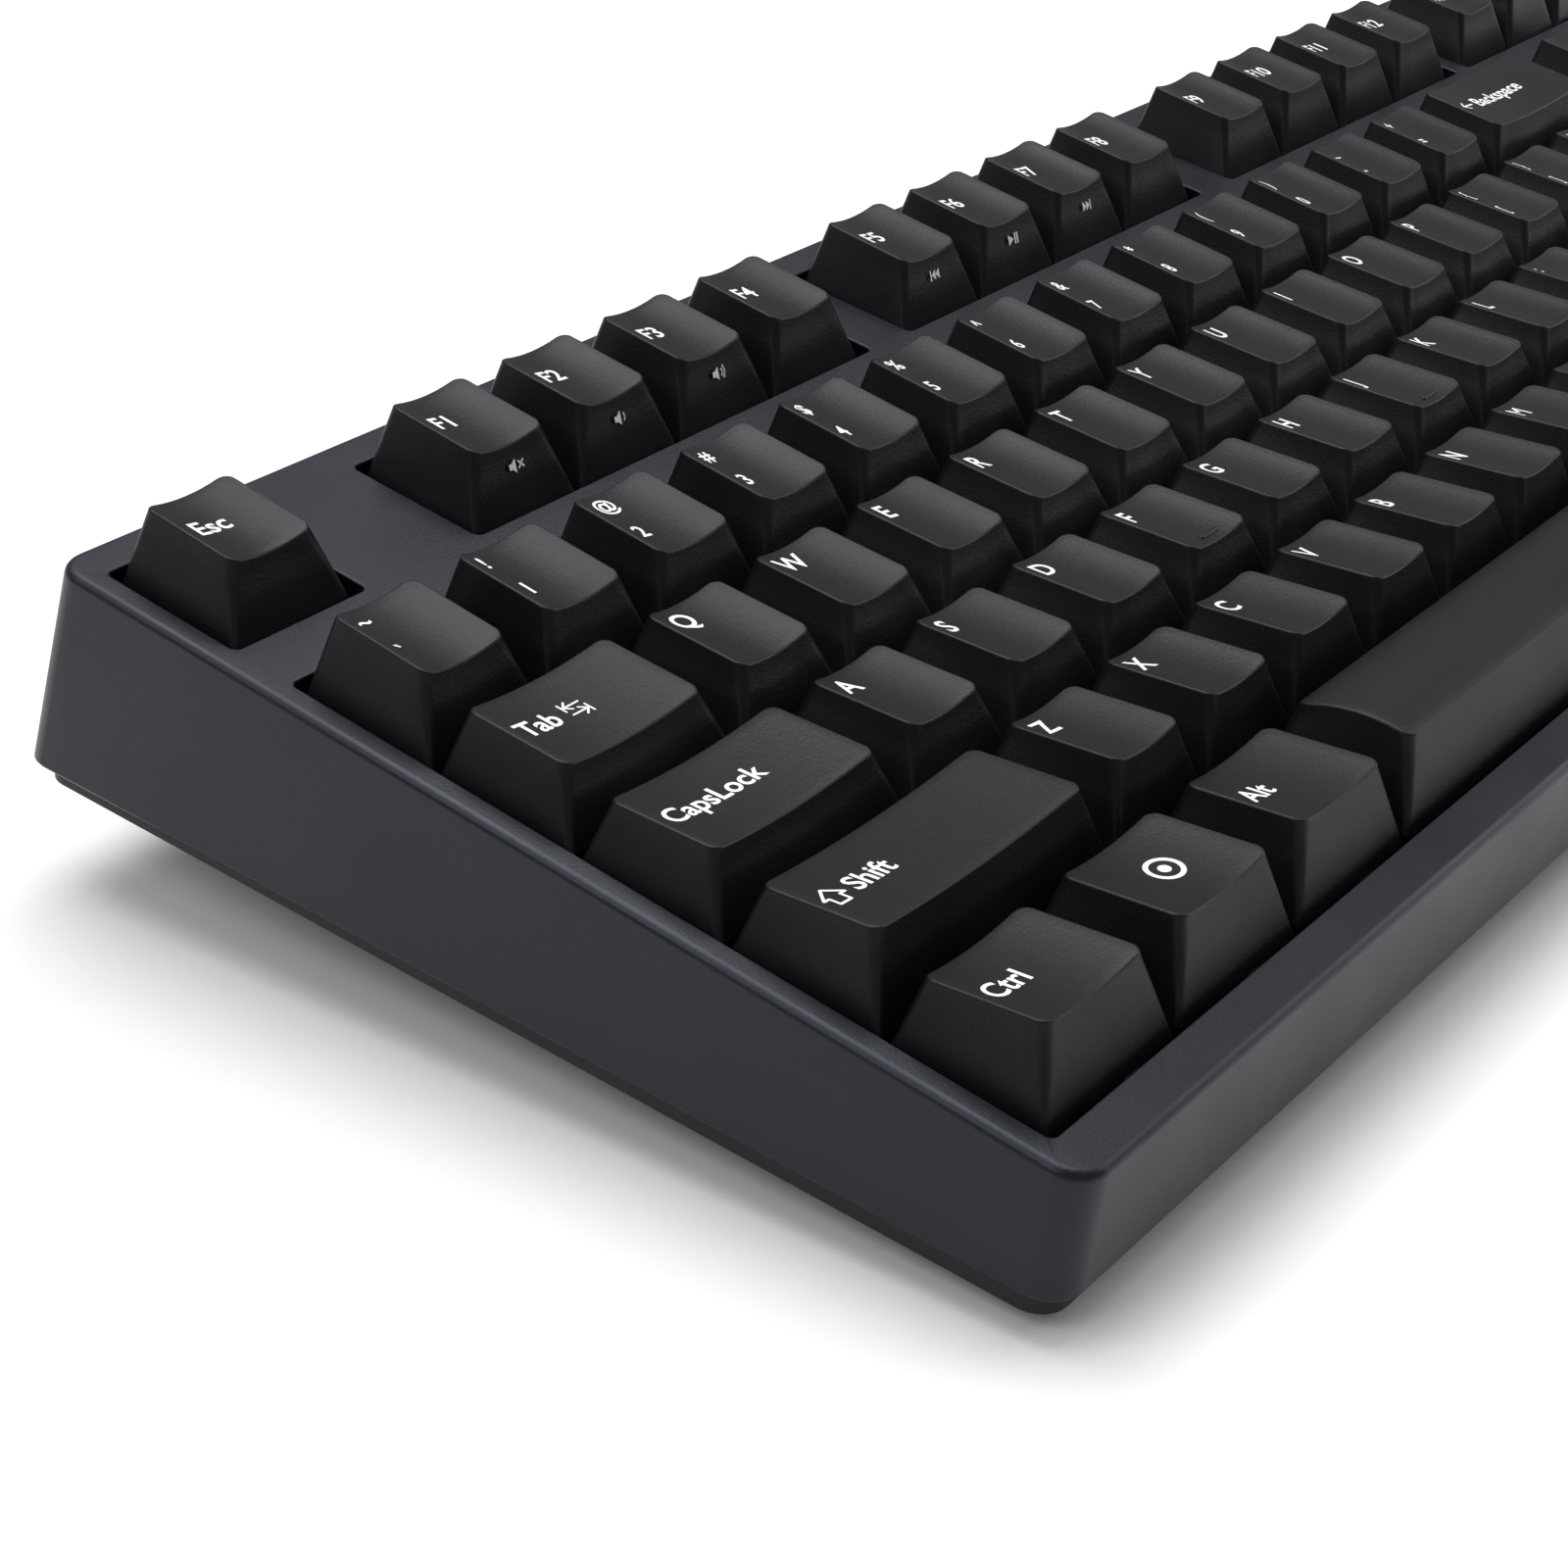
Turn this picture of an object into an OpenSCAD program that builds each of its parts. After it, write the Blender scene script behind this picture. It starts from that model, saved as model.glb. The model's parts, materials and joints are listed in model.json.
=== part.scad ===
// Mechanical keyboard, tenkeyless layout with 87 keys, standing on its two rear flip feet.
// Deck frame: u runs to the right from the left edge of the key field, v runs to the rear from
// its front edge, w is square to the keys with w = 0 on the flat top of the bezel.

/* [Layout] */
// distance between the centres of two neighbouring one-unit keys (mm)
key_pitch = 19.05; // [19:0.05:19.1]
// clear strip between the number row and the function row (mm)
function_row_gap = 9; // [8.5:0.25:9.5]
// slope of the keys and the bezel over the desk (degrees)
deck_tilt = 9; // [8.5:0.25:9.5]
// slope between the bezel and the underside (degrees)
wedge = 4.8; // [4.5:0.1:5]

/* [Case] */
// width of the bezel beside the key field, at its top face (mm)
bezel_side = 3.6; // [3.4:0.1:4]
// depth of the bezel in front of the key field, at its top face (mm)
bezel_front = 6.2; // [6:0.1:6.6]
// depth of the bezel behind the function row, at its top face (mm)
bezel_rear = 5.8; // [5.4:0.1:6.4]
// clear gap between the key field and the edge of a well (mm)
well_gap = 0.4; // [0.3:0.05:0.6]
// wall thickness of the upper case (mm)
case_wall = 3; // [2.8:0.1:3.2]
// outward lean of the outer walls (mm per mm of depth)
wall_lean = 0.085; // [0.07:0.005:0.1]
// height of the lower case that shows below the upper case (mm)
lip_height = 2.8; // [2.6:0.1:3]
// depth of the lip's foot below the bezel at the front of the key field (mm)
case_depth_front = 17.5; // [17.3:0.1:18]

/* [Switches] */
// depth of the switch plate's top face below the bezel (mm)
plate_depth = 8; // [8:0.05:8.2]
// thickness of the switch plate (mm)
plate_thickness = 1.5; // [1.4:0.1:1.6]
// outer diameter of a switch spring (mm)
spring_diameter = 4.2; // [4:0.1:4.3]

/* [Keycaps] */
// gap between the skirt of a cap and the edge of its cell (mm)
skirt_inset = 0.5; // [0.45:0.05:0.6]
// side inset of a cap's top face from the edge of its cell (mm)
top_inset = 3.4; // [3.2:0.1:3.6]
// depth of the dish in a cap's top face (mm)
dish_depth = 1; // [0.8:0.1:1.1]
// wall thickness of a cap's skirt (mm)
cap_wall = 1.4; // [1.3:0.1:1.5]

/* [Flip feet] */
// width of a flip foot (mm)
foot_width = 30; // [26:1:32]
// lean of an opened flip foot to the rear (degrees)
foot_lean = 20; // [18:1:22]

/* [Output] */

/* [Hidden] */
$fn = 32;
case_color = [0.2, 0.2, 0.21];
base_color = [0.13, 0.13, 0.14];
cap_color = [0.15, 0.15, 0.16];
metal_color = [0.7, 0.7, 0.72];
board_color = [0.1, 0.3, 0.17];
housing_color = [0.09, 0.09, 0.1];
rubber_color = [0.06, 0.06, 0.06];

// every key as [column, row, width] in key units; row 0 is the space bar's row
KEYS = [
  [0, 5, 1], [2, 5, 1], [3, 5, 1], [4, 5, 1], [5, 5, 1], [6.5, 5, 1], [7.5, 5, 1], [8.5, 5, 1],
  [9.5, 5, 1], [11, 5, 1], [12, 5, 1], [13, 5, 1], [14, 5, 1], [15.25, 5, 1], [16.25, 5, 1],
  [17.25, 5, 1], [0, 4, 1], [1, 4, 1], [2, 4, 1], [3, 4, 1], [4, 4, 1], [5, 4, 1], [6, 4, 1],
  [7, 4, 1], [8, 4, 1], [9, 4, 1], [10, 4, 1], [11, 4, 1], [12, 4, 1], [13, 4, 2], [15.25, 4, 1],
  [16.25, 4, 1], [17.25, 4, 1], [0, 3, 1.5], [1.5, 3, 1], [2.5, 3, 1], [3.5, 3, 1], [4.5, 3, 1],
  [5.5, 3, 1], [6.5, 3, 1], [7.5, 3, 1], [8.5, 3, 1], [9.5, 3, 1], [10.5, 3, 1], [11.5, 3, 1],
  [12.5, 3, 1], [13.5, 3, 1.5], [15.25, 3, 1], [16.25, 3, 1], [17.25, 3, 1], [0, 2, 1.75],
  [1.75, 2, 1], [2.75, 2, 1], [3.75, 2, 1], [4.75, 2, 1], [5.75, 2, 1], [6.75, 2, 1], [7.75, 2, 1],
  [8.75, 2, 1], [9.75, 2, 1], [10.75, 2, 1], [11.75, 2, 1], [12.75, 2, 2.25], [0, 1, 2.25],
  [2.25, 1, 1], [3.25, 1, 1], [4.25, 1, 1], [5.25, 1, 1], [6.25, 1, 1], [7.25, 1, 1], [8.25, 1, 1],
  [9.25, 1, 1], [10.25, 1, 1], [11.25, 1, 1], [12.25, 1, 2.75], [16.25, 1, 1], [0, 0, 1.25],
  [1.25, 0, 1.25], [2.5, 0, 1.25], [3.75, 0, 6.25], [10, 0, 1.25], [11.25, 0, 1.25], [12.5, 0, 1.25],
  [13.75, 0, 1.25], [15.25, 0, 1], [16.25, 0, 1], [17.25, 0, 1]
];

columns = 18.25;
field_w = columns * key_pitch;
field_v = 6 * key_pitch + function_row_gap;
body_u0 = -bezel_side;
body_u1 = field_w + bezel_side;
body_v0 = -bezel_front;
body_v1 = field_v + bezel_rear;
edge_round = 1;
corner_round = 4;
roof = 2.5;

plate_top = -plate_depth;
board_top = plate_top - 5;
board_thickness = 1.6;
shoulder = plate_top + 6.6;
cross_top = plate_top + 10.2;
skirt_bottom = plate_top + 6.2;
housing_foot = board_top;

// front and rear heights of a cap's top edges over the bezel, by row
cap_front = [8.3, 7.8, 6.35, 6.05, 7.3, 7.25];
cap_rear = [5.6, 5.3, 4.95, 5.8, 7.8, 7.75];
cap_top_v0 = -5;
cap_top_v1 = 8.7;
inner_roof = 2.95;

// the underside's own frame: s to the rear along the underside, t square to it and up
under_front_gap = 2.5;
ground_slope = tan(deck_tilt);
z_lift = (case_depth_front + under_front_gap) * cos(deck_tilt);
y_front = body_v0 * cos(deck_tilt);
rear_depth = case_depth_front + (body_v1 + 2) * tan(wedge) - lip_height;
rear_lean = rear_depth * wall_lean;
y_rear = (body_v1 + rear_lean) * cos(deck_tilt) + rear_depth * sin(deck_tilt);
y_shift = -(y_front + y_rear) / 2;

screws_deck = [
  [1.5 * key_pitch, field_v - 9.5], [6.25 * key_pitch, field_v - 9.5],
  [10.75 * key_pitch, field_v - 9.5], [15.125 * key_pitch, field_v - 9.5],
  [16.75 * key_pitch, 2.5 * key_pitch]
];
screws_front = [[2.5 * key_pitch, -2.9], [9.2 * key_pitch, -2.9], [16.2 * key_pitch, -2.9]];
front_boss_foot = -13.4;

foot_u = [42, field_w - 42];
pivot_s = 112;
pivot_t = 2.6;
foot_thickness = 3.6;
tip_s = pivot_s + 14.4 * sin(foot_lean);
tip_t = pivot_t - 14.4 * cos(foot_lean);
bay_w = 12.4;
bay_h = 6.9;
usb_u = field_w / 2;
usb_w = board_top - board_thickness - 1.65;
usb_mouth = body_v1 - 2.8;

function row_v(row) = row * key_pitch + (row > 4 ? function_row_gap : 0);
function key_u(k) = (k[0] + k[2] / 2) * key_pitch;
function key_v(k) = row_v(k[1]) + key_pitch / 2;
function stem_offset(k) = k[2] >= 6 ? 50 : (k[2] >= 2 ? 11.9 : 0);

// places a shape drawn in the deck frame
module deck() {
  translate([-field_w / 2, y_shift, z_lift]) rotate([deck_tilt, 0, 0]) children();
}

// places a shape drawn in the underside's frame
module under() {
  deck() translate([0, 0, -case_depth_front]) rotate([-wedge, 0, 0]) children();
}

// everything over a plane of the underside's frame, in the deck frame
module over_plane(t) {
  translate([0, 0, -case_depth_front]) rotate([-wedge, 0, 0])
    translate([-60, -60, t]) cube([field_w + 120, field_v + 120, 90]);
}

module at_keys(keys) {
  for (k = keys) translate([key_u(k), key_v(k), 0]) children();
}

module at_stabilizers(keys) {
  for (k = keys)
    if (stem_offset(k) > 0)
      for (side = [-1, 1]) translate([key_u(k) + side * stem_offset(k), key_v(k), 0]) children();
}

module rounded_slab(u0, u1, v0, v1, r, w, h = 0.01) {
  translate([0, 0, w]) linear_extrude(h) hull() {
    for (u = [u0 + r, u1 - r])
      for (v = [v0 + r, v1 - r]) translate([u, v]) circle(r, $fn = 24);
  }
}

// a solid between the bezel and a deep level, growing outward with the walls' lean
module case_block(inset, top, drop) {
  grow = drop * wall_lean;
  hull() {
    rounded_slab(body_u0 + inset, body_u1 - inset, body_v0 + inset, body_v1 - inset,
      max(corner_round - inset, 1), top);
    rounded_slab(body_u0 + inset - grow, body_u1 - inset + grow, body_v0 + inset - grow,
      body_v1 - inset + grow, max(corner_round - inset, 1), top - drop);
  }
}

// the outside of the upper case before its openings are cut
module case_outside() {
  hull() {
    rounded_slab(body_u0 + edge_round, body_u1 - edge_round, body_v0 + edge_round,
      body_v1 - edge_round, corner_round - edge_round, -0.01);
    rounded_slab(body_u0 + 0.3 * edge_round, body_u1 - 0.3 * edge_round,
      body_v0 + 0.3 * edge_round, body_v1 - 0.3 * edge_round,
      corner_round - 0.3 * edge_round, -0.3 * edge_round);
    rounded_slab(body_u0 - 0.08, body_u1 + 0.08, body_v0 - 0.08, body_v1 + 0.08,
      corner_round, -edge_round);
    rounded_slab(body_u0 - 34 * wall_lean, body_u1 + 34 * wall_lean, body_v0 - 34 * wall_lean,
      body_v1 + 34 * wall_lean, corner_round, -34);
  }
}

// one well, from column a to column b in key units and from v0 to v1
module well(a, b, v0, v1) {
  translate([a * key_pitch - well_gap, v0 - well_gap, -20])
    cube([(b - a) * key_pitch + 2 * well_gap, v1 - v0 + 2 * well_gap, 30]);
}

module wells() {
  fv = row_v(5);
  well(0, 1, fv, fv + key_pitch);
  well(2, 6, fv, fv + key_pitch);
  well(6.5, 10.5, fv, fv + key_pitch);
  well(11, 15, fv, fv + key_pitch);
  well(15.25, 18.25, fv, fv + key_pitch);
  well(0, 15, 0, 5 * key_pitch);
  well(15.25, 18.25, 3 * key_pitch, 5 * key_pitch);
  well(16.25, 17.25, key_pitch - 2, 2 * key_pitch);
  well(15.25, 18.25, 0, key_pitch);
}

module top_case() {
  color(case_color) deck() intersection() {
    difference() {
      union() {
        difference() {
          case_outside();
          case_block(case_wall, -roof, 34);
        }
        for (p = screws_deck) translate([p[0], p[1], plate_top]) cylinder(d = 6, h = plate_depth - 1);
        for (p = screws_front) intersection() {
          translate([p[0], p[1], front_boss_foot])
            cylinder(d = 5, h = plate_depth - roof - front_boss_foot - 10.5);
          case_outside();
        }
        for (p = screws_front) intersection() {
          translate([p[0] - 2, -bezel_front - 2, front_boss_foot]) cube([4, bezel_front - 0.9, 5]);
          case_outside();
        }
      }
      wells();
      for (p = screws_deck) translate([p[0], p[1], plate_top - 1]) cylinder(d = 2.3, h = 6.5);
      for (p = screws_front) translate([p[0], p[1], front_boss_foot - 1]) cylinder(d = 2.3, h = 5);
      translate([usb_u - bay_w / 2, usb_mouth, usb_w - bay_h / 2]) cube([bay_w, 20, bay_h]);
    }
    over_plane(lip_height);
  }
}

// the two pockets the flip feet fold into
module foot_pockets(grow, top) {
  for (u = foot_u)
    translate([u - foot_width / 2 - 0.6 - grow, pivot_s - 18 - grow, -1])
      cube([foot_width + 1.2 + 2 * grow, 22.6 + 2 * grow, top + 1]);
}

module foot_bearings(d, spread, h) {
  for (u = foot_u)
    for (side = [-1, 1])
      translate([u + side * (foot_width / 2 + spread), pivot_s, pivot_t]) rotate([0, side * 90, 0])
        cylinder(d = d, h = h);
}

module under_slab(u0, u1, s0, s1, r, t0, t1) {
  translate([0, 0, t0]) linear_extrude(t1 - t0) hull() {
    for (u = [u0 + r, u1 - r])
      for (s = [s0 + r, s1 - r]) translate([u, s]) circle(r);
  }
}

module screw_posts(d) {
  for (p = screws_deck) translate([p[0], p[1], -60]) cylinder(d = d, h = 60 + plate_top - plate_thickness);
  intersection() {
    for (p = screws_front) translate([p[0], p[1], -60]) cylinder(d = min(d, 5), h = 60 + front_boss_foot);
    case_block(case_wall + 0.05, -roof, 60);
  }
}

module bottom_case() {
  s0 = body_v0 + 0.2;
  s1 = body_v1 + 1.2;
  color(base_color) difference() {
    union() {
      under() difference() {
        under_slab(body_u0, body_u1, s0, s1, 3.4, 0, lip_height);
        under_slab(1.2, field_w - 1.2, 0.4, s1 - 6.4, 1.5, 1.4, lip_height + 1);
      }
      under() difference() {
        under_slab(-1, field_w + 1, s0 + 4.6, s1 - 4.6, 1.5, lip_height - 0.2, lip_height + 1.5);
        under_slab(0.2, field_w - 0.2, s0 + 5.8, s1 - 5.8, 1, lip_height - 1, lip_height + 2);
        translate([usb_u - 12, s1 - 10, lip_height]) cube([24, 12, 4]);
      }
      under() intersection() {
        foot_pockets(1.8, 6.8);
        translate([-50, -50, 0.5]) cube([field_w + 100, field_v + 100, 20]);
      }
      intersection() {
        deck() screw_posts(6);
        under() translate([-50, -50, 0.5]) cube([field_w + 100, field_v + 100, 40]);
      }
    }
    under() foot_pockets(0, 5);
    under() foot_bearings(3.4, -1, 4);
    under() rubber_recesses();
    deck() for (p = screws_front) translate([p[0], p[1], front_boss_foot]) cylinder(d = 5.4, h = 8);
    deck() for (p = concat(screws_deck, screws_front))
      translate([p[0], p[1], -60]) cylinder(d = 2.6, h = 60);
    deck() for (p = screws_deck)
      translate([p[0], p[1], -60]) cylinder(d = 4.6, h = 60 + plate_top - plate_thickness - 5);
    deck() for (p = screws_front)
      translate([p[0], p[1], -60]) cylinder(d = 4.6, h = 60 + front_boss_foot - 1.4);
  }
}

module rubber_recesses() {
  for (u = [34, field_w - 34]) {
    translate([u - 15, 3.5, -1]) cube([30, 8, 1.6]);
    translate([u - 8, 121, -1]) cube([16, 5.5, 1.6]);
  }
}

module rubber_feet() {
  color(rubber_color) {
    intersection() {
      under() for (u = [34, field_w - 34]) translate([u - 14.8, 3.7, -6]) cube([29.6, 7.6, 6.6]);
      translate([-300, -200, 0]) cube([600, 400, 60]);
    }
    under() for (u = [34, field_w - 34]) translate([u - 7.8, 121.2, -1.2]) cube([15.6, 5.1, 1.8]);
  }
}

module housing_cutout(size, h) {
  translate([-size / 2, -size / 2, 0]) cube([size, size, h]);
}

module switch_plate() {
  color(metal_color) deck() difference() {
    translate([-0.9, 0.3, plate_top - plate_thickness])
      cube([field_w + 1.8, field_v - 0.3, plate_thickness]);
    translate([0, 0, plate_top - plate_thickness - 1]) {
      at_keys(KEYS) housing_cutout(14, plate_thickness + 2);
      at_stabilizers(KEYS) translate([-3.5, -6.6, 0]) cube([7, 13.4, plate_thickness + 2]);
      for (p = screws_deck) translate([p[0], p[1], 0]) cylinder(d = 2.6, h = plate_thickness + 2);
    }
  }
}

module circuit_board() {
  color(board_color) deck() difference() {
    translate([0.5, 1, board_top - board_thickness]) cube([field_w - 1, field_v - 1.6, board_thickness]);
    translate([0, 0, board_top - board_thickness - 1]) {
      at_keys(KEYS) {
        translate([-1.8, -1.8, 0]) cube([3.6, 3.6, board_thickness + 2]);
        translate([-4.6, 4.3, 0]) cube([1.6, 1.2, board_thickness + 2]);
        translate([1.8, 4.3, 0]) cube([1.6, 1.2, board_thickness + 2]);
      }
      for (p = screws_deck) translate([p[0], p[1], 0]) cylinder(d = 8, h = board_thickness + 2, $fn = 12);
    }
  }
}

// outline of the slots the contact leaves stand in
module leaf_slots(grow, w0, w1) {
  for (u = [-3.8, 2.6])
    translate([u - 0.5 - grow, 4.75 - grow, w0]) cube([1 + 2 * grow, 0.3 + 2 * grow, w1 - w0]);
}

module lower_housings() {
  color(housing_color) deck() at_keys(KEYS) difference() {
    union() {
      translate([-6.95, -6.95, housing_foot]) cube([13.9, 13.9, 5.01]);
      translate([-7.8, -7.8, plate_top]) cube([15.6, 15.6, 1]);
      translate([-1.6, -1.6, housing_foot - 1.5]) cube([3.2, 3.2, 1.6]);
    }
    translate([-5.6, -5.6, housing_foot + 1.2]) cube([11.2, 11.2, 10]);
    leaf_slots(0.02, housing_foot - 2, housing_foot + 2);
  }
}

module upper_housings() {
  color(housing_color) deck() at_keys(KEYS) difference() {
    polyhedron(
      points = [
        [-7.6, -7.6, plate_top + 1], [7.6, -7.6, plate_top + 1],
        [7.6, 7.6, plate_top + 1], [-7.6, 7.6, plate_top + 1],
        [-4.9, -3.7, shoulder], [4.9, -3.7, shoulder],
        [4.9, 3.7, shoulder], [-4.9, 3.7, shoulder]
      ],
      faces = [[0, 1, 2, 3], [7, 6, 5, 4], [0, 4, 5, 1], [1, 5, 6, 2], [2, 6, 7, 3], [3, 7, 4, 0]]
    );
    translate([-4.8, -3.9, plate_top]) cube([9.6, 7.8, 5.3]);
    translate([-3.65, -3.15, plate_top]) cube([7.3, 6.3, 10]);
  }
}

module switch_springs() {
  r = spring_diameter / 2;
  foot = housing_foot + 1.2;
  step = 1.2;
  color(metal_color) deck() at_keys(KEYS) translate([0, 0, foot]) rotate_extrude($fn = 24) polygon(concat(
    [for (i = [0:4]) [r - (i % 2 == 0 ? 0 : 0.35), i * step]],
    [for (i = [4:-1:0]) [r - 0.35 - (i % 2 == 0 ? 0 : 0.35), i * step]]
  ));
}

module switch_contacts() {
  color([0.75, 0.6, 0.35]) deck() at_keys(KEYS)
    leaf_slots(0, board_top - board_thickness - 1.1, plate_top + 0.6);
}

// stem cross as two crossed bars
module cross(size, thick_u, thick_v, w0, w1) {
  translate([-size / 2, -thick_u / 2, w0]) cube([size, thick_u, w1 - w0]);
  translate([-thick_v / 2, -size / 2, w0]) cube([thick_v, size, w1 - w0]);
}

module slider() {
  difference() {
    union() {
      cross(4, 1.1, 1.3, shoulder - 0.1, cross_top);
      translate([-3.25, -2.8, shoulder - 5]) cube([6.5, 5.6, 5]);
      translate([-4.3, -2.8, plate_top + 3.6]) cube([8.6, 5.6, 1.2]);
    }
    translate([0, 0, shoulder - 6]) cylinder(d = 4.8, h = 4.7);
  }
}

module stabilizer_stem() {
  difference() {
    union() {
      cross(4, 1.1, 1.3, shoulder - 0.1, cross_top);
      translate([-2.3, -3, plate_top - 0.5]) cube([4.6, 6, 7.1]);
    }
    translate([-4, -4, plate_top - 0.2]) cube([8, 3.2, 6.25]);
  }
}

module stabilizer_housings() {
  color(housing_color) deck() at_stabilizers(KEYS) difference() {
    union() {
      translate([-3.4, -5.9, housing_foot]) cube([6.8, 11.8, 9.6]);
      translate([-4, -7.4, plate_top]) cube([8, 14.8, 0.9]);
    }
    translate([-2.9, -3.35, housing_foot + 0.4]) cube([5.8, 6.7, 20]);
    translate([-1.2, -10, plate_top + 0.3]) cube([2.4, 9, 20]);
  }
}

module wire_bar(u0, u1, v, w) {
  translate([u0, v, w]) rotate([0, 90, 0]) cylinder(d = 1.5, h = u1 - u0, $fn = 16);
}

module stabilizer_wires() {
  bar_w = plate_top + 1.2;
  color(metal_color) deck() for (k = KEYS)
    if (stem_offset(k) > 0) translate([key_u(k), key_v(k), 0]) {
      d = stem_offset(k);
      wire_bar(-d, d, -8.6, bar_w);
      for (side = [-1, 1]) translate([side * d, -8.6, bar_w]) {
        rotate([-90, 0, 0]) cylinder(d = 1.5, h = 6.6, $fn = 16);
        sphere(d = 1.5, $fn = 16);
      }
    }
}

module controller_chip() {
  color([0.08, 0.08, 0.09]) deck() {
    w0 = board_top - board_thickness - 1.4;
    translate([usb_u + 24, field_v - 28.3, w0 + 0.1]) cube([10, 10, 1.2]);
    for (i = [0:7])
      for (side = [0, 1]) translate([usb_u + 24 + 1.3 + i * 1, field_v - 28.3 + (side == 0 ? -1 : 10), w0 + 0.9])
        cube([0.4, 1, 0.5]);
  }
}

module usb_socket() {
  color(metal_color) deck() {
    difference() {
      translate([usb_u - 4.5, usb_mouth - 7.4, usb_w - 1.65]) cube([9, 7.4, 3.3]);
      translate([usb_u - 4.2, usb_mouth - 6.4, usb_w - 1.3]) cube([8.4, 7, 2.6]);
    }
    translate([usb_u - 3.3, usb_mouth - 6.4, usb_w - 0.35]) cube([6.6, 5, 0.7]);
  }
}

module case_screws() {
  color(metal_color) deck() {
    for (p = screws_deck) screw(p, plate_top - plate_thickness - 5, plate_top + 3);
    for (p = screws_front) screw(p, front_boss_foot - 1.4, front_boss_foot + 3.4);
  }
}

module screw(p, seat, tip) {
  translate([p[0], p[1], seat - 0.5]) cylinder(d = 2.2, h = tip - seat + 0.5, $fn = 24);
  translate([p[0], p[1], seat - 1.3]) difference() {
    cylinder(d = 4.2, h = 1.3, $fn = 24);
    translate([-1.4, -0.25, -1]) cube([2.8, 0.5, 1.7]);
    translate([-0.25, -1.4, -1]) cube([0.5, 2.8, 1.7]);
  }
}

// one flip foot drawn around its pivot in the underside's frame, opened
module flip_foot(u) {
  intersection() {
    under() translate([u, pivot_s, pivot_t]) {
      translate([-foot_width / 2, 0, 0]) rotate([90, 0, 90]) linear_extrude(foot_width) hull() {
        circle(r = 2.2, $fn = 20);
        translate([14.4 * sin(foot_lean), -14.4 * cos(foot_lean)]) circle(r = foot_thickness / 2, $fn = 20);
      }
      for (side = [-1, 1]) rotate([0, side * 90, 0]) cylinder(d = 3, h = foot_width / 2 + 2.2);
    }
    translate([-300, -200, 1.22]) cube([600, 400, 60]);
  }
  intersection() {
    under() translate([u - foot_width / 2 + 1.5, tip_s - 1.9, tip_t - 6]) cube([foot_width - 3, 4, 12]);
    translate([-300, -200, 0]) cube([600, 400, 1.2]);
  }
}

module flip_foot_left() {
  color(base_color) flip_foot(foot_u[0]);
}

module flip_foot_right() {
  color(base_color) flip_foot(foot_u[1]);
}

// a block that narrows upward, on a rounded outline of twelve corners
module cap_block(w, inset0, inset1, v00, v01, v10, v11, base, front, rear, r0, r1) {
  c = [[1, 0], [0.3, 0.3], [0, 1]];
  function ring(u, va, vb, r) = [
    for (q = [0:3])
      for (i = [0:2]) let (
        p = (q % 2 == 0) ? c[2 - i] : c[i],
        a = (q == 0 || q == 3) ? -u + r * p[0] : u - r * p[0],
        b = (q < 2) ? va + r * p[1] : vb - r * p[1]
      ) [a, b]
  ];
  low = ring(w * key_pitch / 2 - inset0, v00, v01, r0);
  high = ring(w * key_pitch / 2 - inset1, v10, v11, r1);
  n = 12;
  polyhedron(
    points = concat(
      [for (p = low) [p[0], p[1], base]],
      [for (p = high) [p[0], p[1], front + (rear - front) * (p[1] - v10) / (v11 - v10)]]
    ),
    faces = concat(
      [[for (i = [0:n - 1]) i], [for (i = [n - 1:-1:0]) n + i]],
      [for (i = [0:n - 1]) [i, n + i, n + (i + 1) % n]],
      [for (i = [0:n - 1]) [i, n + (i + 1) % n, (i + 1) % n]]
    )
  );
}

module cap(k) {
  row = k[1];
  f = cap_front[row];
  r = cap_rear[row];
  half = k[2] * key_pitch / 2 - top_inset + 0.35;
  bend = (half * half + dish_depth * dish_depth) / (2 * dish_depth);
  slope = atan((r - f) / (cap_top_v1 - cap_top_v0));
  difference() {
    if (k[2] < 6) difference() {
      cap_block(k[2], skirt_inset, top_inset, -9.025, 9.025, cap_top_v0, cap_top_v1,
        skirt_bottom, f, r, 0.8, 1.8);
      translate([0, cap_top_v0, f]) rotate([slope, 0, 0])
        translate([0, -6, bend - dish_depth]) rotate([-90, 0, 0]) cylinder(r = bend, h = 30, $fn = 288);
    }
    else intersection() {
      cap_block(k[2], skirt_inset, top_inset, -9.025, 9.025, cap_top_v0, cap_top_v1,
        skirt_bottom, f + 1.4, r + 1.4, 0.8, 1.8);
      translate([0, 1.85, (f + r) / 2 + 1.1 - 20]) rotate([slope, 0, 0]) rotate([0, 90, 0])
        translate([0, 0, -80]) cylinder(r = 20, h = 160, $fn = 144);
    }
    cap_hollow(k);
  }
  cap_posts(k);
}

module cap_hollow(k) {
  hw = k[2] * key_pitch / 2;
  u0 = hw - skirt_inset - cap_wall;
  u1 = hw - top_inset - 1.2;
  polyhedron(
    points = [
      [-u0, -7.6, skirt_bottom - 1], [u0, -7.6, skirt_bottom - 1],
      [u0, 7.75, skirt_bottom - 1], [-u0, 7.75, skirt_bottom - 1],
      [-u1, -5, inner_roof], [u1, -5, inner_roof], [u1, 7.3, inner_roof], [-u1, 7.3, inner_roof]
    ],
    faces = [[0, 1, 2, 3], [7, 6, 5, 4], [0, 4, 5, 1], [1, 5, 6, 2], [2, 6, 7, 3], [3, 7, 4, 0]]
  );
}

module cap_post() {
  difference() {
    translate([0, 0, shoulder + 0.02]) cylinder(d = 5.5, h = inner_roof - shoulder + 0.3);
    cross(4.1, 1.2, 1.4, shoulder - 1, cross_top + 0.02);
  }
}

module cap_posts(k) {
  cap_post();
  if (stem_offset(k) > 0)
    for (side = [-1, 1]) translate([side * stem_offset(k), 0, 0]) cap_post();
}

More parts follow.
